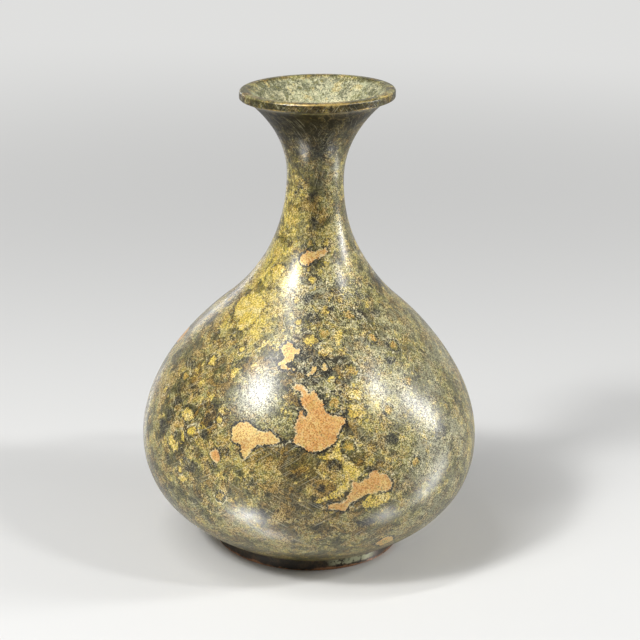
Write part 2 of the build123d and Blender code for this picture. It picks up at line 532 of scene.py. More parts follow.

# %% The patches that face the camera, as turn in degrees and height in millimetres
# Many corners and middles were picked by eye in the picture, and a helper script turned them into turns and
# heights through the fitted camera.
# The others are given as they are.
# A copper or gold patch has a tone and an outline. An eye has a radius and a tone, a dark spot a radius and
# a stretch. A pale line is open.
COPPER_PATCHES = (
    (0.7, (
        (-7, 66.9), (-6, 67.9), (-4.7, 67.8), (-2.9, 67.5), (-1.8, 67.1), (-1.1, 66.3), (-0.5, 65.5),
        (0.6, 65.6), (1.1, 66.4), (1.8, 66.6), (2.5, 65.9), (3.2, 64.9), (4, 64.3), (5.1, 64), (5.7, 63.3),
        (5.8, 62.5), (5.6, 61.6), (6.4, 60.7), (7.8, 60.2), (10.1, 59.9), (12.4, 59.6), (13.1, 59.1),
        (13.3, 58.2), (12.7, 57.7), (11.7, 57.2), (11.1, 56.2), (10.2, 55.2), (10.1, 54.4), (9.1, 52.9),
        (7, 52), (5.8, 51.2), (3.8, 50.7), (2.1, 50.2), (0.1, 50.7), (-1.5, 51.6), (-3.6, 52.2),
        (-5.1, 52.7), (-4.8, 54.2), (-4.3, 55.4), (-5.1, 56.2), (-5, 57.2), (-4.3, 58.2), (-4.2, 59.2),
        (-3.5, 60), (-3.5, 60.8), (-3, 61.2), (-2.4, 61.2), (-2, 60.4), (-1.8, 59.6), (-1.3, 59.5),
        (-0.7, 60), (-0.5, 60.7), (-1.1, 61.4), (-1.7, 62.1), (-2.5, 62.8), (-3.2, 63.3), (-3.6, 64),
        (-3.3, 64.8), (-2.9, 65.3), (-3.4, 65.9), (-4.2, 66.5), (-5.6, 66.5),
    )),
    (0.15, (
        (-27.5, 53.7), (-27.4, 54.6), (-26.7, 55.3), (-26.1, 55.9), (-24.7, 56.3), (-23.2, 56.6),
        (-21.8, 56.9), (-20.8, 56.5), (-19.9, 56), (-18.8, 55.7), (-17.9, 55.2), (-17, 55.1), (-16, 55),
        (-14.7, 55), (-13.7, 55.2), (-12.7, 55.1), (-11.8, 54.5), (-10.7, 53.9), (-9.6, 53), (-10.5, 52.3),
        (-11.4, 52), (-12.6, 52), (-13.3, 51.7), (-14.7, 51.4), (-16.2, 51.1), (-17.4, 51), (-18.2, 50.1),
        (-18.9, 49.5), (-19.5, 48.7), (-20.4, 47.4), (-21.1, 46.7), (-22.1, 47.8), (-22.7, 48.7),
        (-22.5, 49.7), (-23.3, 50.5), (-24.4, 50.8), (-25.4, 50.7), (-26.3, 51.2), (-26.8, 51.8),
        (-26.7, 52.4),
    )),
    (0.5, (
        (14.1, 41), (15.4, 41.2), (16.9, 40.8), (18.2, 41.4), (19.8, 41.8), (20.6, 42.6), (20.9, 43.9),
        (22.4, 44), (23.5, 43.4), (24.8, 42.8), (26.5, 42.2), (27, 41.1), (28.2, 39.9), (28.3, 38.7),
        (27.8, 37.6), (26, 36.9), (23.5, 37.1), (21, 36.9), (18.7, 36.8), (17.3, 35.9), (15.8, 35.1),
        (14.6, 34.6), (13.4, 33.7), (13, 32.5), (11.5, 31.9), (9.1, 32.7), (7, 32.8), (6.8, 34.4),
        (9, 34.6), (11.3, 35), (12.7, 35.7), (13.5, 37.2), (14.1, 38.4), (14.5, 39.8),
    )),
    (0.35, (
        (27.5, 15.7), (28.3, 17.3), (30.6, 18.5), (33.2, 18), (36, 15.4), (34.5, 14), (32, 13.1),
    )),
    (0.9, (
        (-32.5, 47.6), (-30.8, 47), (-29.9, 45.1), (-30.1, 43.6), (-31.5, 43.7), (-33.3, 44.7),
        (-34.1, 46.2),
    )),
    (0.3, (
        (-12.8, 77.7), (-10.6, 77.7), (-9.3, 77.2), (-8.7, 76.5), (-7.6, 76.2), (-5.7, 76.6), (-5.5, 75.9),
        (-6.1, 75.1), (-7.3, 75.3), (-8.1, 74.7), (-8.5, 73.9), (-9.4, 73.3), (-10.8, 73.1), (-11.7, 72.5),
        (-11, 72.1), (-9.4, 72.1), (-7.7, 71.8), (-6.7, 71.5), (-7.2, 71.1), (-9.2, 71.3), (-11.2, 71.1),
        (-13.4, 71.2), (-14.2, 71.8), (-15, 72.4), (-14.9, 73), (-13.2, 73.4), (-12.7, 74.2), (-13.8, 74.7),
        (-15, 75.6), (-15.8, 76.2), (-14.1, 77),
    )),
    (0.2, (
        (1.1, 72.5), (3, 72.4), (3.2, 71.9), (2.3, 71.1), (1.5, 70.4), (-0.1, 70.1), (-1.6, 70.3),
        (-2, 70.8), (-0.3, 70.9), (0.7, 71.6),
    )),
    (0.1, (
        (5.2, 71.7), (5.8, 72.7), (6.8, 73.3), (7.6, 72.5), (8.5, 71.7), (6.6, 71.3),
    )),
    (0.6, (
        (-17.6, 99.5), (-12.8, 100.6), (-6.3, 101.2), (1.9, 101.3), (8.9, 101.9), (17.6, 102.2),
        (21.6, 101.4), (15.5, 100.4), (8.5, 99.6), (2, 99), (-2.9, 98.1), (-8.8, 97.3), (-15.3, 97.8),
    )),
)
GOLD_PATCHES = (
    (0, (
        (-52, 94.7), (-45, 96), (-36.1, 96.2), (-34.7, 94.6), (-37.4, 93), (-38, 91.3), (-43.6, 91.5),
        (-45.2, 93.4),
    )),
    (0.1, (
        (-64.1, 82.4), (-67, 83.8), (-64.2, 85.3), (-59.6, 87), (-51.2, 87.2), (-43.1, 86.5), (-35.7, 85.5),
        (-38.4, 83.9), (-38, 82.4), (-38.9, 80.8), (-40.1, 79.5), (-43.4, 78.3), (-49.4, 78.7), (-50, 80.2),
        (-57.2, 81),
    )),
    (0.3, (
        (3.2, 49), (5.9, 49.5), (8.5, 50.3), (9.8, 51.9), (10.1, 53.6), (10.9, 53.5), (10.9, 50.2),
        (11.5, 48.5), (13.8, 47), (16.1, 45.6), (17.7, 43.7), (16.9, 41.6), (14.9, 40.3), (12.3, 38.9),
        (10.8, 37), (7.2, 36.2), (3.5, 34.9), (2.8, 35.9), (7.2, 37.5), (10.1, 39.3), (12, 41.7),
        (12.7, 44.1), (11.1, 46.5), (8.8, 48), (5.8, 48.4),
    )),
    (0.8, (
        (14.6, 62.6), (20.5, 62.4), (22, 60.2), (19, 58.8), (15, 60),
    )),
    (0.3, (
        (15.1, 80.6), (18.4, 80.7), (18.7, 79.3), (16.3, 77.3), (13.7, 77.1), (13.6, 79),
    )),
    (0.9, (
        (3.6, 75.8), (6.3, 76.7), (10.1, 76.9), (11.4, 76), (8, 74.8), (4.5, 74.4),
    )),
    (0, (
        (-36, 67.2), (-35.8, 68.8), (-34, 69.9), (-32.6, 69.5), (-33.5, 68.1), (-34.4, 66.6),
    )),
    (0.4, (
        (-52, 54.1), (-50, 55.5), (-46.5, 55.5), (-44, 54.3), (-46.5, 53.1), (-50, 53.1),
    )),
    (0.1, (
        (-54.6, 45), (-52.6, 46.2), (-49.7, 44.9), (-48.6, 43), (-50.5, 41.8), (-53.2, 42.9),
    )),
    (0.5, (
        (-47.7, 34), (-45.1, 35.9), (-42.6, 35.6), (-44.7, 33.6),
    )),
    (0.1, (
        (21.4, 37.9), (23.8, 37.7), (27.4, 36.4), (27.9, 34.7), (26.2, 32.9), (22.7, 32.1), (19.2, 32.9),
        (17.1, 34.2), (17.7, 35.2), (19.7, 35.9),
    )),
    (0, (
        (15.5, 66), (19, 66.4), (22, 65.6), (20.5, 63.6), (16.5, 64.2),
    )),
)
EYES = (
    (-5, 103.5, 1.5, 0.3), (19.3, 103.4, 1.6, 0.9), (-4.8, 96.3, 1.2, 0.5), (-1.2, 93.4, 1.6, 0.9),
    (-8.5, 82.6, 1.5, 1), (10.5, 85.4, 1.9, 0.7), (-0.7, 78.4, 2.7, 0.85), (8.1, 79.9, 2.5, 0.1),
    (23.7, 87.9, 1.5, 0.6), (10, 63.4, 2.6, 0.15), (19.2, 70.9, 2.6, 0.4), (13.8, 51.4, 2.4, 0.3),
    (-49, 69.2, 2.1, 1), (-36, 74.3, 1.5, 0.8), (-68.6, 56.1, 1.7, 0.9), (-33.3, 55.7, 1.4, 1),
    (-43.9, 50.3, 2.3, 0.8), (-46.5, 37.4, 1.5, 0.9), (-13, 88, 1.4, 0.8), (27, 84, 2.4, 0.1),
    (36, 78, 2.4, 0.1), (46.7, 75.3, 2.2, 0.1), (31, 60, 2, 0.4), (-22, 62.5, 1.3, 0.5),
    (-29, 33, 1.8, 0.4), (38, 44, 2, 0.3), (45, 66, 2, 0.2), (-59.4, 62.7, 2, 0.1),
)
DARK_SPOTS = (
    (-2.4, 74.8, 2.3, 1.4), (3.5, 73.9, 2.2, 1.4), (-8.2, 77.4, 1.3, 1.6), (7.9, 71, 1.9, 1.1),
    (-6.5, 52.6, 1.5, 1.4), (-2.4, 50.2, 0.9, 1.4), (-19.3, 39.7, 1.7, 1.8), (8.9, 46.5, 2.2, 1.1),
    (-42.7, 40.1, 2, 1.9), (-28.8, 47.4, 1.5, 1.6), (-33, 42.6, 1.3, 2.2), (-38.1, 54.1, 1.7, 1.2),
    (-38.6, 50.6, 1.4, 1.2), (-42.1, 58.5, 1.4, 1.3), (-56.7, 56.2, 1.8, 1.1), (-57.5, 51.6, 2.2, 0.7),
    (-1.4, 60.4, 0.8, 0.7), (13.4, 56.4, 1.5, 1), (1, 68.6, 1.7, 2), (4.6, 39.8, 1.2, 1.6),
    (12.6, 60.9, 1, 2.2), (17.2, 42.2, 0.9, 1.4), (12.9, 37.4, 0.9, 0.8), (3.8, 34, 0.8, 2.6),
    (-2.8, 88.1, 2, 1.2), (0.8, 83.9, 2.3, 1.1), (-3.4, 80.6, 1.3, 1.3), (-0.7, 110.4, 1.4, 1.2),
    (-5.8, 117.8, 1.5, 1.2), (-38.1, 117.9, 1.2, 1.3), (-30, 121, 1.3, 1.2), (31.9, 83.7, 1.9, 1.3),
    # The first three spots on the next line, wide and high under the flare, are painted shade under the lip.
    (-5.4, 139, 6, 1.5), (-24, 136, 5, 1.4), (10, 134, 4, 1.3), (46.7, 75.3, 2.6, 1.2), (-60, 47, 2.4, 1.2),
    (-61, 66, 2, 1.5), (30, 52, 1.6, 1.6), (40, 72, 1.5, 1.5), (52, 50, 2.4, 1.4), (50, 83, 1.6, 1.4),
    (-15, 30, 2, 1.8), (20, 27, 1.6, 2),
)
PALE_LINES = (
    (
        (-7, 66.9), (-6, 67.9), (-4.7, 67.8), (-2.9, 67.5), (-1.8, 67.1), (-1.1, 66.3), (-0.4, 66.2),
        (0.6, 66.6), (1.8, 66.9), (2.7, 67.1), (3.2, 66.5), (4, 66.5), (4.9, 66.7),
    ),
    (
        (5.1, 66.9), (5.8, 67.3), (6.9, 67.5), (7.7, 67), (7.6, 66.4), (6.6, 65.9), (5.6, 66), (5.1, 66.6),
    ),
    (
        (3.2, 64.9), (4, 64.3), (5.1, 64), (5.7, 63.3), (5.8, 62.3),
    ),
    (
        (11.2, 68.3), (13.5, 66.7), (16.2, 65.1), (18.5, 64.3), (21.3, 64),
    ),
    (
        (15, 70.5), (15.6, 68.7), (17.4, 67.4), (19.5, 68.7), (21.5, 69.6), (24.1, 71.2),
    ),
    (
        (-4.7, 71.8), (-4.2, 72.8), (-2.7, 73.2), (-1.1, 73.3), (0.3, 72.9), (0.6, 72.1),
    ),
    (
        (-15.6, 50.1), (-12.9, 50.8), (-9.6, 51.8), (-6.3, 53.1),
    ),
    (
        (-46.9, 48.8), (-46.7, 50.6), (-44.8, 52), (-41.8, 52.2), (-40.2, 50.8),
    ),
    (
        (8.3, 78.4), (11.5, 79.5), (12.7, 80.8), (10.6, 81.8),
    ),
    (
        (24, 42.8), (28, 41.6), (30, 42.6), (32, 40.6),
    ),
    (
        (16, 94), (14, 91), (16, 88.6), (20, 89.6),
    ),
    (
        (33, 86), (38, 82), (41, 78), (46, 76),
    ),
)
print(len(COPPER_PATCHES) + len(GOLD_PATCHES), "patches face the camera")
print(len(EYES) + len(DARK_SPOTS), "spots face it too")

# %% Patches for the sides and the back
# Nothing shows of them in the picture, so they follow the front: the same kinds, sizes and spacing, thrown
# by a seeded generator that keeps clear of the part that faces the camera.
SEED = 41
HIDDEN_FROM = 80.0
HIDDEN_COPPER_SIZES = (17.0, 13.0, 12.0, 11.0, 10.0, 9.0, 8.0, 7.0, 6.0, 6.0, 5.0, 5.0, 4.0, 4.0, 4.0)
HIDDEN_GOLD = 26
HIDDEN_EYES = 75
HIDDEN_DARK_SPOTS = 85
HIDDEN_LINES = 22
throws = np.random.default_rng(SEED)


def hidden_place(low, high, margin=0.0):
    turn = throws.uniform(HIDDEN_FROM + margin, 360.0 - HIDDEN_FROM - margin)
    return turn, throws.uniform(low, high)


def ragged_outline(turn, height, size):
    """A patch with a few deep bays and points, about size millimetres across."""
    angles = np.linspace(0.0, math.tau, 26, endpoint=False)
    phases = throws.uniform(0.0, math.tau, 4)
    reach = 1.0 + 0.34 * np.cos(2 * angles + phases[0]) + 0.24 * np.cos(3 * angles + phases[1])
    reach += 0.14 * np.cos(5 * angles + phases[2]) + 0.1 * np.cos(8 * angles + phases[3])
    across = reach * np.cos(angles) * size / 2
    up = reach * np.sin(angles) * size / 2 * throws.uniform(0.55, 0.9)
    heights = np.interp(arc_at(height) + up, section_arc[:outside_count], section[:outside_count, 1])
    return np.stack([turn + np.degrees(across / radius_at(height)), heights], axis=1)


patina = PatinaMap(("copper", "gold", "eye", "dark", "line"))
for tone, outline in COPPER_PATCHES:
    patina.patch("copper", outline, tone)
for tone, outline in GOLD_PATCHES:
    patina.patch("gold", outline, tone)
for turn, height, radius, tone in EYES:
    patina.eye("eye", turn, height, radius, tone)
for turn, height, radius, stretch in DARK_SPOTS:
    patina.eye("dark", turn, height, radius, 0.0, stretch)
for line in PALE_LINES:
    patina.patch("line", line, closed=False)

for size in HIDDEN_COPPER_SIZES:
    outline = ragged_outline(*hidden_place(16.0, 82.0, 18.0), size)
    patina.patch("copper", outline, throws.uniform(0.1, 0.9))
for count in range(HIDDEN_GOLD):
    outline = ragged_outline(*hidden_place(18.0, 100.0), throws.uniform(3.0, 9.0))
    patina.patch("gold", outline, throws.uniform(0.0, 1.0))
for count in range(HIDDEN_EYES):
    turn, height = hidden_place(12.0, 108.0)
    radius, tone, stretch = throws.uniform(1.3, 3.2), throws.uniform(0.1, 1.0), throws.uniform(0.8, 1.3)
    patina.eye("eye", turn, height, radius, tone, stretch)
for count in range(HIDDEN_DARK_SPOTS):
    turn, height = hidden_place(12.0, 138.0)
    patina.eye("dark", turn, height, throws.uniform(1.2, 3.4), 0.0, throws.uniform(1.0, 2.2))
for count in range(HIDDEN_LINES):
    outline = ragged_outline(*hidden_place(25.0, 90.0), throws.uniform(6.0, 12.0))
    patina.patch("line", outline[: int(throws.integers(7, 16))], closed=False)
for kind, layer in patina.layers.items():
    print(int((layer < 1.0).sum()), "points lie in or beside a patch of the kind", kind)

# %% Wide soft areas
# Each is a share, a turn in degrees, a height, a half width and a half height in millimetres. They say where
# the skin is golden, slate, brown, or busy with rings, and where sheen and shade are painted into it.
AREAS = {
    "gold": (
        (1, -48, 110, 5.5, 22), (1, -46, 94, 13, 12), (0.9, -40, 80, 13, 10), (0.4, -30, 46, 16, 9),
        (0.5, 13, 44, 10, 9), (0.4, 24, 60, 12, 10), (0.5, 15, 80, 9, 7), (0.35, 40, 98, 9, 9),
        (0.8, 140, 84, 18, 14), (0.7, -130, 60, 20, 14), (0.8, 165, 112, 10, 16), (0.5, 95, 40, 18, 12),
    ),
    # Slate patina, with painted sheen in it: the pale right of the belly, the halos of the two main
    # highlights and a streak down the right of the neck.
    "slate_and_sheen": (
        (0.8, 2, 88, 9, 9), (0.8, 30, 86, 10, 12), (0.7, 50, 116, 6, 16), (0.5, -2, 72, 12, 6),
        (1, 52, 52, 24, 38), (0.4, -35, 26, 18, 9), (0.9, -18, 61, 12, 8), (0.45, 30, 54, 12, 9),
        (0.5, -16, 78, 7, 6), (0.8, -150, 96, 16, 14), (0.7, 110, 66, 20, 12), (0.8, 170, 40, 22, 12),
        (0.6, 180, 136, 16, 10),
    ),
    "brown": (
        (1, -4, 42, 30, 13), (0.6, -42, 62, 14, 14), (0.6, 4, 112, 4, 14), (0.7, 20, 56, 12, 12),
        (0.9, 150, 52, 34, 16), (0.8, -120, 74, 20, 14),
    ),
    # Painted shade: under the lip all round, down the middle of the neck, and on the low front of the belly.
    "painted_shade": (
        (1.25, -12, 144, 20, 6.5), (0.9, -75, 140, 12, 9), (0.12, 2, 24, 24, 9), (0.5, 4, 118, 3, 8),
        (0.35, 4, 104, 4, 7), (0.5, 50, 144, 12, 4), (0.8, 150, 137, 26, 8),
    ),
    "busy": (
        (1, 5, 70, 15, 15), (0.8, -45, 50, 12, 11), (0.7, 20, 88, 14, 10), (0.5, 14, 44, 12, 10),
        (0.5, -50, 76, 12, 8), (0.6, 5, 100, 8, 6), (0.9, 130, 56, 20, 16), (0.8, -160, 72, 18, 14),
        (0.7, -105, 40, 16, 12), (0.6, 175, 30, 16, 10),
    ),
}
areas = {kind: sum(soft_area(*row) for row in rows) for kind, rows in AREAS.items()}

# Slate streaks run down the inside of the mouth: turn, half width in degrees, share.
MOUTH_STREAKS = ((-133, 14, 1.0), (-100, 12, 0.6), (150, 10, 0.9), (112, 12, 0.7), (-168, 8, 0.5))
STREAKS_ABOVE = 120.0
mouth_start = outside_count + lip_count - 2
inside_wall = (steps_along >= mouth_start) & (height_mm > STREAKS_ABOVE)
for turn, half_width, share in MOUTH_STREAKS:
    areas["slate_and_sheen"] += share * falloff(apart(turn_degrees, turn), half_width) * inside_wall

# The skin is also painted darker just above the foot and in the band of the lip: painted shade in the crease
# over the foot, and a painted dark reflection in the band.
SHADE_ABOVE_FOOT = 0.35
SHADE_BELOW = 12.0
SHADE_DEPTH = 6.0
SHADE_IN_BAND = 0.7
LIP_BAND_STEPS = (2, 9)
areas["painted_shade"] += SHADE_ABOVE_FOOT * on_outside * np.clip((SHADE_BELOW - height_mm) / SHADE_DEPTH, 0.0, 1.0)
band_start, band_end = (outside_count + step for step in LIP_BAND_STEPS)
lip_band = (steps_along >= band_start) & (steps_along <= band_end)
areas["painted_shade"] = np.where(lip_band, SHADE_IN_BAND, areas["painted_shade"])
for kind, share in areas.items():
    print("The", kind, "areas hold", int((share > 0.5).sum()), "points")

# %% The worn lip with its painted highlights, and everything written on the mesh
# The lip is bright along its two upper edges and along the lower edge of its band. This is partly wear from
# handling and partly painted highlight: it is strongest at the front, and on the lower edge at the two turns
# where the lamps glint.
def brightened(turn, half_width):
    """How bright an edge is made, by its turn round the mouth: partly wear, partly painted highlight."""
    return falloff(apart(turn_degrees, turn), half_width)


def near_edge(edge, reach):
    """1 on an edge of the lip, and less away from it, in millimetres."""
    return falloff(np.linalg.norm(section[steps_along] - edge, axis=1), reach)


worn_and_glint = (0.35 + 0.4 * brightened(5.0, 50.0)) * near_edge(ridge, 0.4)
worn_and_glint = np.maximum(worn_and_glint, (0.3 + 0.7 * brightened(5.0, 60.0)) * near_edge(lip_high, 0.7))
# The lower edge: painted highlights at the two turns where the lamps glint, and wear at the back.
lower_edge_glint_and_wear = 0.9 * brightened(-32.0, 17.0) + 0.9 * brightened(38.0, 16.0) + 0.8 * brightened(160.0, 40.0)
worn_and_glint = np.maximum(worn_and_glint, lower_edge_glint_and_wear * near_edge(lip_low, 0.4))
in_mouth = (steps_along >= mouth_start) & (steps_along < outside_count + lip_count + len(wall_rows))

for kind, layer in patina.layers.items():
    write_numbers(shell_mesh, kind + "_edge", layer)
for kind in ("copper", "gold", "eye"):
    write_numbers(shell_mesh, kind + "_tone", patina.tones[kind])
for kind, share in areas.items():
    write_numbers(shell_mesh, kind + "_area", np.clip(share, 0.0, 1.0))
write_numbers(shell_mesh, "worn_and_glint", worn_and_glint)
write_numbers(shell_mesh, "in_mouth", in_mouth.astype(float))
for name in ("section_radius", "section_height", "section_step", "turn"):
    shell_mesh.attributes.remove(shell_mesh.attributes[name])
print("The shell carries", len(shell_mesh.attributes), "sets of numbers")

# %% [markdown]
# ## The finish of the shell
# Some layers also carry painted light: painted shade under the lip, down the neck, above the foot and in the
# lip's band; painted sheen as grey haze near the highlights; painted glints among the pale flecks and on the
# lip's edges; and painted light deep in the mouth.
#
# Under a thin wax the skin is mostly oxide, so it scatters light like paint, and the wax adds a clear
# gloss. Where the skin is thin the metal below warms it, so those places are more metallic. The colours
# are laid in the order in which they lie on the metal: a mottled ground, then gold, slate, eyes, bare
# copper, pale lines, and last the pepper and the fine scratches that cross them all.
#
# A noise runs from 0 to 1 and mostly keeps near 0.5. A fade between two levels near 0.5 cuts it into patches,
# and a layer's share says how much it covers of what lies under it.

# %% Colours of the patina
def paint(red, green, blue):
    """A colour written as it looks on a screen, as the light that the shader needs."""
    shares = [value / 255.0 for value in (red, green, blue)]
    return tuple(s / 12.92 if s <= 0.04045 else ((s + 0.055) / 1.055) ** 2.4 for s in shares) + (1.0,)


SOOT = paint(26, 21, 4)
DARK_BROWN = paint(44, 34, 6)
DARK_OLIVE = paint(48, 46, 12)
GREEN_OLIVE = paint(142, 136, 64)
OCHRE_BROWN = paint(167, 141, 62)
BURNT = paint(164, 122, 52)
AMBER = paint(196, 154, 62)
YELLOW_GOLD = paint(216, 192, 74)
STRAW = paint(200, 172, 80)
GOLD = paint(240, 212, 92)
SLATE = paint(108, 110, 84)
BLUE_SLATE = paint(42, 48, 44)
HAZE_AND_SHEEN = paint(190, 188, 154)
ASH = paint(184, 186, 150)
PALE = paint(240, 233, 200)
CREAM = paint(240, 230, 184)
TAN = paint(238, 206, 122)
COPPER = paint(232, 172, 96)
COPPER_DOT = paint(168, 104, 40)
WORN_AND_GLINT_BRONZE = paint(224, 190, 116)
SPECK_AND_GLINT_LIGHT = (1.25, 1.25, 1.5, 1.0)
SPECK_SHADE = (0.13, 0.11, 0.06, 1.0)

# How the wax over the skin shines, and how little it shines where shade is painted
WAX_ROUGHNESS = 0.26
WAX_IOR = 1.6
SKIN_SHINE = 0.45
PAINTED_SHADE_ROUGHNESS = 0.4
PAINTED_SHADE_SHINE = 0.12


class FinishBench(Bench):
    """A material's tree, with the few nodes that every finish here uses."""

    def __init__(self, material):
        super().__init__(material.node_tree)
        self.tree.nodes.clear()
        place = self.add("ShaderNodeTexCoord", "Object")
        sockets = {0: place, "Scale": 1.0 / MM}
        self.millimetres = self.add("ShaderNodeVectorMath", "Vector", {"operation": "SCALE"}, sockets)

    def place(self):
        """The three numbers of a place on the vase, in millimetres."""
        return self.add("ShaderNodeSeparateXYZ", ("X", "Y", "Z"), None, {0: self.millimetres})

    def attribute(self, name):
        return self.add("ShaderNodeAttribute", "Fac", {"attribute_name": name})

    def noise(self, size, detail=2.0, roughness=0.5, seed=0.0, vector=None, distortion=0.0):
        """Noise whose lumps are about size millimetres across."""
        sockets = {"Vector": vector or self.millimetres, "W": seed, "Scale": 1.0 / size}
        sockets.update({"Detail": detail, "Roughness": roughness, "Distortion": distortion})
        return self.add("ShaderNodeTexNoise", "Fac", {"noise_dimensions": "4D"}, sockets)

    def blend(self, under, over, share, mode="MIX"):
        settings = {"data_type": "RGBA", "blend_type": mode, "clamp_result": True}
        sockets = {"Factor_Float": share, "A_Color": under, "B_Color": over}
        return self.add("ShaderNodeMix", "Result_Color", settings, sockets)

    def layers(self, colour, *layers):
        """A colour with others laid over it in turn, each with the share that it covers."""
        for layer in layers:
            colour = self.blend(colour, *layer)
        return colour

    def finish(self, colour, roughness, metallic, normal, coat, dull=None):
        """The shader itself. What is the same everywhere is set on its own sockets. Where shade is painted it
        shines less.
        """
        shared = {"Base Color": colour, "Normal": normal}
        waxed = {"Roughness": roughness, "Metallic": metallic, "Specular IOR Level": SKIN_SHINE}
        waxed.update({"Coat Weight": coat, "Coat Roughness": WAX_ROUGHNESS, "Coat IOR": WAX_IOR})
        surface = self.add("ShaderNodeBsdfPrincipled", "BSDF", None, shared | waxed)
        if dull is not None:
            dimmed = {"Roughness": PAINTED_SHADE_ROUGHNESS, "Specular IOR Level": PAINTED_SHADE_SHINE}
            shaded_surface = self.add("ShaderNodeBsdfPrincipled", "BSDF", None, shared | dimmed)
            surface = self.mixed(dull, surface, shaded_surface)
        self.add("ShaderNodeOutputMaterial", (), None, {"Surface": surface})

    def relief(self, height_mm):
        """A bump from a height in millimetres."""
        sockets = {"Strength": 1.0, "Distance": MM, "Height": height_mm}
        return self.add("ShaderNodeBump", "Normal", None, sockets)

    def tell(self, what):
        print(what, "done, with", len(self.tree.nodes), "nodes in the finish so far")


print("Gold is", [round(part, 3) for part in GOLD[:3]], "as light")

# %% The noises that the finish is made of
work = FinishBench(shell_finish)
clouds = work.noise(16.0, 3.0, 0.55, 1.3)
veil = work.noise(11.0, 4.0, 0.6, 8.1)
islands = work.noise(6.0, 4.0, 0.56, 2.1, distortion=0.5)
hue = work.noise(4.0, 4.0, 0.6, 7.3, distortion=0.6)
dots = work.noise(2.7, 3.0, 0.55, 3.7, distortion=0.4)
curd = work.noise(1.5, 3.0, 0.6, 5.2, distortion=0.8)
fleck = work.noise(0.56, 1.0, 0.6, 4.9)
grain = work.noise(0.31, 0.0, 0.5, 6.1)
fray = (work.noise(2.8, 2.0, 0.6, 12.0) - 0.5) * 2.6 + (work.noise(0.8, 2.0, 0.6, 13.0) - 0.5) * 3.6
x, y, z = work.place()


def band(value, middle, half_width, soft):
    """1 along a line where a value passes through a level, 0 away from it."""
    return 1.0 - (value - middle).size().fade(half_width, half_width + soft)


work.tell("The noises are")

# %% The ground: green olive and ochre brown, darker and lighter in islands, under a thin grey veil that is partly painted sheen
gold_share, slate_and_sheen_share, brown_share, painted_shade_share, busy = (work.attribute(kind + "_area") for kind in AREAS)
WARM_FADE = (0.46, 0.55)
level = islands * 0.58 + dots * 0.24 + curd * 0.18 + gold_share * 0.03 - painted_shade_share * 0.04
warmth = hue * 0.45 + curd * 0.3 + clouds * 0.25 + brown_share * 0.06 - slate_and_sheen_share * 0.05
mottle = hue * 0.5 + dots * 0.5
light = level.fade(0.44, 0.55)
haze_and_sheen = (veil * 0.6 + clouds * 0.4 + slate_and_sheen_share * 0.02).fade(0.46, 0.58)
dark_ground = work.blend(DARK_OLIVE, DARK_BROWN, warmth.fade(*WARM_FADE))
gold_skin = work.blend(STRAW, GOLD, (dots + gold_share * 0.08).fade(0.52, 0.58))
gold_skin = work.blend(gold_skin, OCHRE_BROWN, curd.fade(0.5, 0.45) * 0.8)
ground = work.layers(
    GREEN_OLIVE,
    (OCHRE_BROWN, warmth.fade(*WARM_FADE)),
    (BURNT, mottle.fade(0.54, 0.6) * (0.12 + brown_share * 0.45)),
    (YELLOW_GOLD, gold_share * (0.35 + curd.fade(0.4, 0.55) * 0.5)),
    (dark_ground, level.fade(0.5, 0.465) * (0.62 + busy * 0.3 - slate_and_sheen_share * 0.2)),
    (SOOT, (level * 0.5 + curd * 0.5).fade(0.465, 0.44) * (0.5 + busy * 0.4)),
    (gold_skin, (level * 0.6 + curd * 0.4).fade(0.525, 0.57) * (0.32 + gold_share * 0.55)),
    # A grey haze, mostly painted sheen where the slate and sheen areas are.
    (HAZE_AND_SHEEN, haze_and_sheen * (0.08 + slate_and_sheen_share * 0.55)),
)

# Islands have dark shores and pale tide lines, most of all where the patina is busy. The peaks of a finer
# noise are small eyes, each with a dark rim.
amber_share = 0.24 + busy * 0.25 + brown_share * 0.2 - slate_and_sheen_share * 0.2
ground = work.layers(
    ground,
    (SOOT, band(level, 0.5, 0.006, 0.01) * curd.fade(0.44, 0.48) * (0.65 + busy * 0.35)),
    (AMBER, hue.fade(0.535, 0.56) * amber_share.most(0.0)),
    (SOOT, band(hue, 0.54, 0.006, 0.012) * dots.fade(0.44, 0.48) * (0.5 + busy * 0.45)),
    (CREAM, band(level, 0.5255, 0.002, 0.006) * dots.fade(0.47, 0.51) * (0.2 + busy * 0.6)),
    (SOOT, band(dots, 0.6, 0.006, 0.013) * (0.35 + busy * 0.5)),
    (gold_skin, dots.fade(0.61, 0.625) * (0.4 + busy * 0.5)),
    (PALE, band(dots, 0.405, 0.003, 0.008) * (0.1 + busy * 0.6)),
    (SOOT, dots.fade(0.4, 0.375) * (0.5 + busy * 0.4)),
)
work.tell("The ground is")

# %% Gold and dark spots, from the map
gold_edge = work.attribute("gold_edge") + fray
gold_colour = work.blend(GOLD, AMBER, work.attribute("gold_tone") * 0.4 + curd.fade(0.52, 0.6) * 0.5)
gold_colour = work.blend(gold_colour, CREAM, dots.fade(0.5, 0.62) * 0.35)
gold_holes = (curd * 0.6 + fleck * 0.4).fade(0.46, 0.41)
dark_reach = work.attribute("dark_edge") + fray * 0.42
dark_colour = work.blend(SOOT, BLUE_SLATE, (clouds * 0.5 + curd * 0.5).fade(0.44, 0.56))
ground = work.layers(
    ground,
    (SOOT, band(gold_edge, 0.5, 0.1, 0.3) * curd.fade(0.42, 0.52) * 0.75),
    (gold_colour, gold_edge.fade(0.3, -0.3) * (0.95 - gold_holes * 0.65)),
    (dark_colour, dark_reach.fade(1.2, 0.7) * (0.55 + curd.fade(0.56, 0.44) * 0.4)),
)
work.tell("The gold and the dark spots are")

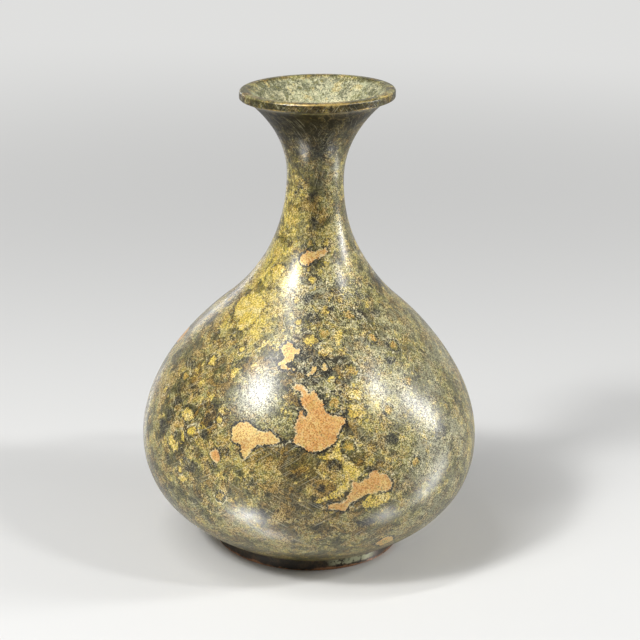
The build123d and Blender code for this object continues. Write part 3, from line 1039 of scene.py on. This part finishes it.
# %% Eyes, from the map
# An eye has a bright pupil, an ochre ring, a broken dark ring and a pale outer one.
eye_reach = work.attribute("eye_edge") + fray * 0.44
eye_tone = work.attribute("eye_tone")
pupil = work.blend(AMBER, GOLD, (eye_tone + (curd - 0.5) * 1.6).fade(0.2, 0.85))
iris = work.blend(GREEN_OLIVE, OCHRE_BROWN, (eye_tone + (hue - 0.5) * 2.0).fade(0.2, 0.8))
ground = work.layers(
    ground,
    (iris, eye_reach.fade(0.95, 0.75) * 0.75),
    (pupil, eye_reach.fade(0.66, 0.42) * (0.6 + curd.fade(0.44, 0.54) * 0.4)),
    (SOOT, band(eye_reach, 0.92, 0.08, 0.18) * curd.fade(0.4, 0.52) * 0.9),
    (CREAM, band(eye_reach, 1.22, 0.03, 0.1) * dots.fade(0.48, 0.54) * 0.65),
)
work.tell("The eyes are")

# %% Bare copper and pale lines, from the map
# Bare copper has a dark edge, a pale rim just inside it, and chips where the skin still holds.
LOW_PATCH = (28.0, 20.0)
low_patch = z.fade(*LOW_PATCH)
copper_edge = work.attribute("copper_edge") + fray * 0.42 + (fleck - 0.5) * 1.1
chips = (dots * 0.45 + fleck * 0.35 + curd * 0.2 + low_patch * 0.06).fade(0.57, 0.61)
copper = copper_edge.fade(0.07, -0.05) * (1.0 - chips * 0.85)
copper_warmth = work.attribute("copper_tone") + (curd - 0.5) * 1.3 + (hue - 0.5) * 2.2
straw_share = mottle.fade(0.53, 0.6) * 0.5
copper_colour = work.layers(
    TAN,
    (COPPER, copper_warmth.fade(0.1, 0.85)),
    (STRAW, straw_share),
    (COPPER_DOT, (fleck * 0.35 + grain * 0.65).fade(0.5, 0.58) * 0.85),
    (COPPER_DOT, (dots * 0.6 + curd * 0.4).fade(0.46, 0.4) * 0.35),
    (CREAM, (fleck * 0.25 + grain * 0.75).fade(0.45, 0.38) * 0.3),
    (CREAM, band(copper_edge, -0.14, 0.06, 0.16) * dots.fade(0.46, 0.54) * 0.6),
)
line_share = band(work.attribute("line_edge") + fray * 0.6, 0.0, 0.1, 0.26) * curd.fade(0.42, 0.54)
skin = work.layers(
    ground,
    (SOOT, band(copper_edge, 0.34, 0.24, 0.4) * clouds.fade(0.34, 0.46) * 0.97),
    (copper_colour, copper),
    (CREAM, line_share * 0.75),
)
work.tell("The copper and the lines are")

# %% Pepper, pale flecks that are partly painted glints, and painted shade
# The dark specks multiply what lies under them, so the hue holds. The pale flecks keep to the light ground;
# they are partly pale grain and partly painted glints.
speck = fleck * 0.15 + grain * 0.85
stir = (0.7 + hue.fade(0.4, 0.6) * 0.3) * (1.0 - gold_share * 0.3) + slate_and_sheen_share * 0.2
pepper = speck.fade(0.5, 0.39) * (1.0 - copper * 0.8) * stir.least(1.08)
pale_flecks_and_glints = speck.fade(0.54, 0.63) * (1.0 - copper * 0.7) * (0.15 + light * 0.85)
# Painted shade, laid in soot colour: under the lip, down the neck, above the foot and in the band of the lip.
painted_shade = painted_shade_share * (0.75 + curd.fade(0.6, 0.4) * 0.25)
skin = work.layers(
    skin,
    (SPECK_SHADE, pepper * 0.9, "MULTIPLY"),
    (SPECK_AND_GLINT_LIGHT, pale_flecks_and_glints, "MULTIPLY"),
    (PALE, pale_flecks_and_glints * (0.3 + slate_and_sheen_share * 0.1)),
    (SOOT, painted_shade),
)
work.tell("The pepper is")

# %% Scratches
around = x.sum_of("ARCTAN2", x, y * -1.0)


def scratches(lean, coarseness, seed):
    """Fine lines that climb round the vase at a slant. They close on themselves at the back."""
    angle = around + z * lean
    across, along = angle.sum_of("SINE", angle) * coarseness, angle.sum_of("COSINE", angle) * coarseness
    vector = work.add("ShaderNodeCombineXYZ", "Vector", None, {"X": across, "Y": along, "Z": z * 0.2})
    return work.noise(1.0, 1.0, 0.5, seed, vector)


up_right = scratches(-0.03, 90.0, 21.0)
up_left = scratches(0.034, 84.0, 22.0)
rubbed = work.noise(9.0, 2.0, 0.5, 23.0)
scratch = up_right.fade(0.62, 0.7) * rubbed.fade(0.44, 0.56)
scratch = scratch + up_left.fade(0.62, 0.7) * rubbed.fade(0.56, 0.44)
skin = work.layers(
    skin,
    (PALE, scratch.least(1.0) * (0.3 - copper * 0.24)),
    (DARK_BROWN, up_right.fade(0.38, 0.3) * rubbed.fade(0.44, 0.56) * (0.4 - copper * 0.3)),
)
work.tell("The scratches are")

# %% The mouth, painted lighter deep down, and the worn lip with its painted highlights
MOUTH_DEPTH = (147.0, 141.0)
mouth = work.attribute("in_mouth")
# Deeper in the mouth the colour is painted lighter and creamier: painted light on the low back wall that
# shows above the front lip.
deep_painted_light = z.fade(*MOUTH_DEPTH)
mouth_tone = hue * 0.5 + clouds * 0.2 + curd * 0.3 + deep_painted_light * 0.06 - slate_and_sheen_share * 0.08
chalk = work.layers(
    SLATE,
    (ASH, mouth_tone.fade(0.43, 0.53)),
    (HAZE_AND_SHEEN, (dots * 0.5 + curd * 0.5 + deep_painted_light * 0.06).fade(0.5, 0.58) * 0.8),
    (STRAW, straw_share),
    (CREAM, (curd * 0.5 + veil * 0.5 + deep_painted_light * 0.08).fade(0.54, 0.64) * 0.45),
    (GREEN_OLIVE, (curd * 0.6 + dots * 0.4).fade(0.47, 0.41) * 0.5),
    (CREAM, pale_flecks_and_glints * 0.45),
    (SPECK_SHADE, pepper * 0.55, "MULTIPLY"),
)
# The lip's bright edges: partly wear, partly painted highlight.
worn_and_glint = (work.attribute("worn_and_glint") * (0.3 + curd * 1.4)).fade(0.4, 0.95)
skin = work.layers(skin, (chalk, mouth * 0.95), (WORN_AND_GLINT_BRONZE, worn_and_glint * 0.85))
work.tell("The mouth is")

# %% How the shell shines
height_mm = fleck * 0.035 + grain * 0.018 + curd * 0.03 - copper * 0.02 - scratch * 0.01
rough = 0.36 + pepper * 0.12 + copper * 0.08 + mouth * 0.28 + (curd - 0.5) * 0.14 - worn_and_glint * 0.12
metal = 0.04 + gold_share * 0.08 + copper * 0.1 + worn_and_glint * 0.55 - pepper * 0.03 - mouth * 0.04
LOW_BELLY = (40.0, 18.0)
low_belly = z.fade(*LOW_BELLY)
coat = 0.66 + low_belly * 0.34 - pepper * (0.4 - low_belly * 0.3)
coat = (coat - mouth * 0.56 - copper * 0.25 - painted_shade_share * 0.3).most(0.0)
# Where shade is painted the surface is also made duller, so that it keeps dark.
dull = painted_shade * 0.7 * (1.0 - worn_and_glint)
work.finish(skin, rough, metal.most(0.0), work.relief(height_mm), coat, dull)
print("The shell's finish has", len(shell_finish.node_tree.nodes), "nodes")

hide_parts("vessel_shell")
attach(shell, "root")

# %% [markdown]
# ## The foot
#
# The foot ring, its base plate, the braze and the solder keep their CAD shape, because they are plain turned
# rings. Only their finish is made here. The ring is darker than the shell, partly as painted shade under the
# belly, and its resting edge is rubbed down to pink bronze. A pale patch on its front right is a painted
# reflection.

# %% Finish of the foot ring
# The ring's dark colour is partly its patina and partly painted shade under the overhanging belly.
FOOT_PATINA_AND_SHADE = paint(38, 31, 20)
FOOT_BROWN = paint(76, 60, 38)
PINK_BRONZE = paint(190, 138, 100)
# How high the rub reaches from the resting edge, and the turn of a pale patch on the ring, in radians. The
# pale patch is a painted reflection.
RUB_HEIGHT = 1.1
REFLECTION_TURN = 0.52
foot_finish = new_finish("foot_bronze")
work = FinishBench(foot_finish)
x, y, z = work.place()
curd = work.noise(1.9, 3.0, 0.6, 31.0, distortion=0.6)
clouds = work.noise(8.0, 2.0, 0.5, 32.0)
fleck = work.noise(0.5, 2.0, 0.6, 33.0)
rub = (RUB_HEIGHT - z + (curd - 0.5) * 1.6 + (clouds - 0.5) * 2.4).fade(0.0, 0.7)
turn = x.sum_of("ARCTAN2", x, y * -1.0)
# A pale painted reflection on the front right of the ring.
pale_reflection = (1.0 - (turn - REFLECTION_TURN).size().fade(0.16, 0.34)) * (z + (curd - 0.5) * 2.0).fade(1.3, 1.9)
brown = work.layers(
    FOOT_PATINA_AND_SHADE,
    (FOOT_BROWN, (curd * 0.6 + clouds * 0.4).fade(0.4, 0.62)),
    (SOOT, fleck.fade(0.45, 0.35) * 0.8),
    (PINK_BRONZE, rub * 0.75),
    (ASH, pale_reflection * curd.fade(0.38, 0.5) * 0.8),
)
rough = 0.4 + fleck * 0.14 - rub * 0.08
work.finish(brown, rough, 0.35 + rub * 0.35, work.relief(fleck * 0.02 + curd * 0.03), 0.2)
print("The foot ring's finish is ready")

# %% Finish of the base plate: turned marks and dull brown
PLATE_BROWN = paint(104, 84, 54)
base_finish = new_finish("base_bronze")
work = FinishBench(base_finish)
x, y = work.place()[:2]
reach = (x * x + y * y).power(0.5)
tool_line = work.add("ShaderNodeCombineXYZ", "Vector", None, {"X": reach * 2.6, "Y": 0.0, "Z": 0.0})
marks = work.noise(1.0, 2.0, 0.6, 41.0, tool_line)
clouds = work.noise(9.0, 4.0, 0.6, 42.0, distortion=0.8)
fleck = work.noise(0.6, 2.0, 0.6, 43.0)
plate = work.layers(
    SOOT,
    (PLATE_BROWN, (clouds * 0.7 + fleck * 0.3).fade(0.34, 0.6)),
    (ASH, (clouds + marks * 0.2).fade(0.66, 0.8) * 0.5),
    (SOOT, fleck.fade(0.42, 0.34) * 0.6),
)
work.finish(plate, 0.45 + fleck * 0.2, 0.3, work.relief(marks * 0.04 + fleck * 0.02), 0.1)
print("The base plate's finish is ready")

# %% Finish of the braze and the solder
BRAZE_YELLOW = paint(176, 142, 72)
SOLDER_GREY = paint(120, 118, 112)


def filler_finish(name, colour, seed):
    """Filler metal: dull, with the ripples that it set with."""
    material = new_finish(name)
    work = FinishBench(material)
    ripple = work.noise(1.2, 2.0, 0.5, seed)
    stain = work.noise(5.0, 3.0, 0.6, seed + 1.0)
    fleck = work.noise(0.4, 1.0, 0.5, seed + 2.0)
    tint = work.blend(colour, SOOT, (stain * 0.7 + fleck * 0.3).fade(0.45, 0.7) * 0.6)
    work.finish(tint, 0.34 + stain * 0.2, 0.8, work.relief(ripple * 0.12 + fleck * 0.02), 0.0)
    return material


def refinish(node, material):
    """Put a finish on every material slot of a CAD node."""
    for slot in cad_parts[node].material_slots:
        slot.material = material


refinish("foot_ring", foot_finish)
refinish("base_plate", base_finish)
refinish("foot_braze", filler_finish("braze_metal", BRAZE_YELLOW, 51.0))
refinish("base_solder", filler_finish("solder_metal", SOLDER_GREY, 61.0))
print("The foot, the base and their joints are finished")

# %% [markdown]
# ## Floor and light
#
# The floor is one wide pale sheet, with a backdrop that curves up far behind the vase, so no line crosses
# the picture. The camera and glass see a matt sheet. Metal sees the same sheet under a satin sheen, which
# gives the low belly the floor's paleness and the soft glow of the lamps. Six softboxes stand where the
# highlights say they stood: a square one high on the left inside a weaker wide one, a strip above them, a
# small one and a long low one on the right, and a faint rim light. An even pale world fills the rest.

# %% The floor
FLOOR_HALF_WIDTH = 8.0
BACKDROP_HALF_WIDTH = 2.8
CURVE_START = 1.5
CURVE_RADIUS = 0.9
WALL_TOP = 2.2
FLOOR_WHITE = (0.92, 0.92, 0.91, 1.0)
FAR_WHITE = (0.74, 0.74, 0.73, 1.0)
NEAR_REACH = 0.15
FAR_REACH = 0.95
PALE_IN_METAL = 0.4
CURVE_STEPS = 16
SATIN_ROUGHNESS = 0.18
SATIN_METAL = 0.95

line = [(CURVE_START, 0.0)]
for share in np.linspace(0.0, 1.0, CURVE_STEPS + 1)[1:]:
    angle = share * math.pi / 2
    line.append((CURVE_START + CURVE_RADIUS * math.sin(angle), CURVE_RADIUS * (1.0 - math.cos(angle))))
line.append((CURVE_START + CURVE_RADIUS, WALL_TOP))
corners = [(side * BACKDROP_HALF_WIDTH, y, z) for y, z in line for side in (-1, 1)]
faces = [(2 * n, 2 * n + 1, 2 * n + 3, 2 * n + 2) for n in range(len(line) - 1)]
flat = [(-1, -1), (1, -1), (1, 1), (-1, 1)]
faces.append(tuple(range(len(corners), len(corners) + len(flat))))
corners += [(x * FLOOR_HALF_WIDTH, y * FLOOR_HALF_WIDTH, 0.0) for x, y in flat]
floor_mesh = bpy.data.meshes.new("floor")
floor_mesh.from_pydata(corners, [], faces)
floor_mesh.shade_smooth()
floor = placed("floor", floor_mesh)
floor_finish = new_finish("pale_floor")
floor_finish.node_tree.nodes.clear()
floor_mesh.materials.append(floor_finish)

work = Bench(floor_finish.node_tree)
satin_sockets = {"Base Color": FLOOR_WHITE, "Roughness": SATIN_ROUGHNESS, "Metallic": SATIN_METAL}
satin = work.add("ShaderNodeBsdfPrincipled", "BSDF", None, satin_sockets)
matt = work.add("ShaderNodeBsdfDiffuse", "BSDF", None, {"Color": FAR_WHITE})
glow = work.add("ShaderNodeEmission", "Emission", None, {"Color": FAR_WHITE})
place = work.add("ShaderNodeTexCoord", "Object")
distance = work.add("ShaderNodeVectorMath", "Value", {"operation": "LENGTH"}, {0: place})
away = distance.fade(NEAR_REACH, FAR_REACH)
sheet = work.mixed(away, matt, glow)
ray_kinds = ("Is Camera Ray", "Is Glossy Ray", "Is Transmission Ray")
to_camera, to_gloss, through_glass = work.add("ShaderNodeLightPath", ray_kinds)
plain_share = to_camera.most(through_glass).most(to_gloss * PALE_IN_METAL)
work.add("ShaderNodeOutputMaterial", (), None, {"Surface": work.mixed(plain_share, satin, sheet)})
print("The floor is", 2 * FLOOR_HALF_WIDTH, "m across, and its backdrop is", WALL_TOP, "m high")

# %% The softboxes
VASE_MIDDLE = Vector((0.0, 0.0, 0.07))
WORLD_STRENGTH = 0.13
# Name, the turn and rise of both ends of the long side, distance, long side and short side in metres, watts
SOFTBOXES = (
    ("left_softbox", (-53.0, 43.5), (-45.0, 43.5), 0.9, 0.12, 0.12, 3.8),
    ("left_wide_softbox", (-60.0, 43.0), (-40.0, 43.0), 0.95, 0.36, 0.36, 3.0),
    ("high_left_softbox", (-56.0, 56.0), (-53.0, 78.0), 0.9, 0.36, 0.055, 1.8),
    ("right_softbox", (63.0, 42.0), (67.0, 39.0), 0.9, 0.1, 0.08, 2.0),
    ("low_right_softbox", (82.0, 30.0), (98.0, 5.0), 0.9, 0.44, 0.09, 4.2),
    ("left_rim_softbox", (-152.0, 0.0), (-152.0, 18.0), 0.9, 0.28, 0.1, 0.35),
)


def heading(turn, rise):
    """The direction that lies at a turn from the camera's side and a rise above level, in degrees."""
    turn, rise = math.radians(turn), math.radians(rise)
    return Vector((math.sin(turn) * math.cos(rise), -math.cos(turn) * math.cos(rise), math.sin(rise)))


def softbox(name, start, end, distance, long_side, short_side, watts):
    """A softbox that faces the vase, its long side running from one direction to the other."""
    middle = ((heading(*start) + heading(*end)) / 2).normalized()
    along = heading(*end) - heading(*start)
    along = (along - middle * along.dot(middle)).normalized()
    upright = middle.cross(along)
    data = bpy.data.lights.new(name, "AREA")
    data.shape = "RECTANGLE"
    data.size = long_side
    data.size_y = short_side
    data.energy = watts
    box = placed(name, data)
    turned = Matrix((along, upright, middle)).transposed().to_4x4()
    box.matrix_world = Matrix.Translation(VASE_MIDDLE + middle * distance) @ turned


for row in SOFTBOXES:
    softbox(*row)

world = bpy.data.worlds.new("pale_world")
world.use_nodes = True
backdrop = world.node_tree.nodes["Background"]
backdrop.inputs["Color"].default_value = (1.0, 1.0, 1.0, 1.0)
backdrop.inputs["Strength"].default_value = WORLD_STRENGTH
bpy.context.scene.world = world
bpy.context.scene.view_settings.view_transform = "Standard"
watts = sum(row[-1] for row in SOFTBOXES)
print(len(SOFTBOXES), "softboxes with", round(watts, 2), "W in all light the vase")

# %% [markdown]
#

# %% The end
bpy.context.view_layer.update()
